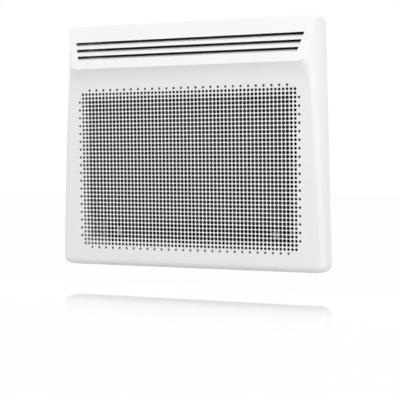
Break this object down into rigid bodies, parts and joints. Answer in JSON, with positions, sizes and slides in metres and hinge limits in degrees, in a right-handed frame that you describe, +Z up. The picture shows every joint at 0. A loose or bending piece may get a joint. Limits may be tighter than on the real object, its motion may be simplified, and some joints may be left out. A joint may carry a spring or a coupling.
{
  "type": "wall panel convector heater",
  "caption": "Shallow wall heater with a leaning hood over slotted outlets, a perforated radiant front, a tapered rear casing and a hook-on wall bracket.",
  "frame": {"origin": "centre of the wall bracket's crossbar on its back face, on the wall, at half the heater's height", "axes": "+X to the right seen from the front, +Y into the wall (the front faces -Y), +Z up"},
  "size_m": [0.4904, 0.1082, 0.417],
  "materials": {
    "front_coat": "satin white, fine moulded grain",
    "panel_coat": "satin white powder coat",
    "casing_coat": "satin off-white powder coat",
    "control_shell": "satin white",
    "zinc": "zinc-plated sheet",
    "black_enamel": "matt black enamel",
    "aluminium": "as extruded",
    "steel": "plain steel",
    "ceramic": "unglazed ceramic",
    "dark_plastic": "dark grey moulded",
    "grey_plastic": "mid grey moulded",
    "board": "green board",
    "lens": "smoked clear, glossy",
    "rubber": "matt",
    "lead": "braided sleeve"
  },
  "bodies": {
    "wall_bracket": {"wall_bracket": "zinc"},
    "heater": {"front_frame": "front_coat", "perforated_panel": "panel_coat", "rear_casing": "casing_coat", "inlet_grille": "dark_plastic", "heat_shield": "zinc", "air_deflector": "black_enamel", "radiant_panel": "black_enamel", "radiant_rail_left": "zinc", "radiant_rail_right": "zinc", "convector_fins": "aluminium", "heating_rod": "steel", "element_bracket_left": "zinc", "element_bracket_right": "zinc", "element_bush_left": "ceramic", "element_bush_right": "ceramic", "thermal_cutout": "steel", "terminal_block": "ceramic", "cable_gland": "dark_plastic", "supply_lead": "lead", "element_lead": "lead", "room_sensor": "grey_plastic", "control_housing": "control_shell", "control_board": "board", "power_board": "board", "relay": "dark_plastic", "tilt_switch": "steel", "display_window": "lens", "switch_body": "dark_plastic", "wall_spacer_left": "rubber", "wall_spacer_right": "rubber", "casing_screw_1": "steel", "casing_screw_2": "steel", "casing_screw_3": "steel", "casing_screw_4": "steel", "casing_screw_5": "steel", "casing_screw_6": "steel", "casing_screw_7": "steel", "casing_screw_8": "steel", "shield_spacer_1": "ceramic", "shield_spacer_2": "ceramic", "shield_spacer_3": "ceramic", "shield_spacer_4": "ceramic"},
    "power_key": {"button_power": "grey_plastic"},
    "mode_key": {"button_mode": "grey_plastic"},
    "plus_key": {"button_plus": "grey_plastic"},
    "minus_key": {"button_minus": "grey_plastic"},
    "rocker": {"switch_rocker": "dark_plastic"}
  },
  "joints": [
    {"name": "lift_off", "type": "slide", "parent": "wall_bracket", "child": "heater", "axis": [0, 0, 1], "range_m": [0, 0.01]},
    {"name": "power_press", "type": "slide", "parent": "heater", "child": "power_key", "axis": [-1, 0, 0], "range_m": [0, 0.001], "stiffness_N_per_m": 600},
    {"name": "mode_press", "type": "slide", "parent": "heater", "child": "mode_key", "axis": [-1, 0, 0], "range_m": [0, 0.001], "stiffness_N_per_m": 600},
    {"name": "plus_press", "type": "slide", "parent": "heater", "child": "plus_key", "axis": [-1, 0, 0], "range_m": [0, 0.001], "stiffness_N_per_m": 600},
    {"name": "minus_press", "type": "slide", "parent": "heater", "child": "minus_key", "axis": [-1, 0, 0], "range_m": [0, 0.001], "stiffness_N_per_m": 600},
    {"name": "rocker_tip", "type": "hinge", "parent": "heater", "child": "rocker", "pos_m": [0.2165, -0.04, -0.012], "axis": [0, 1, 0], "range_deg": [0, 16]}
  ]
}
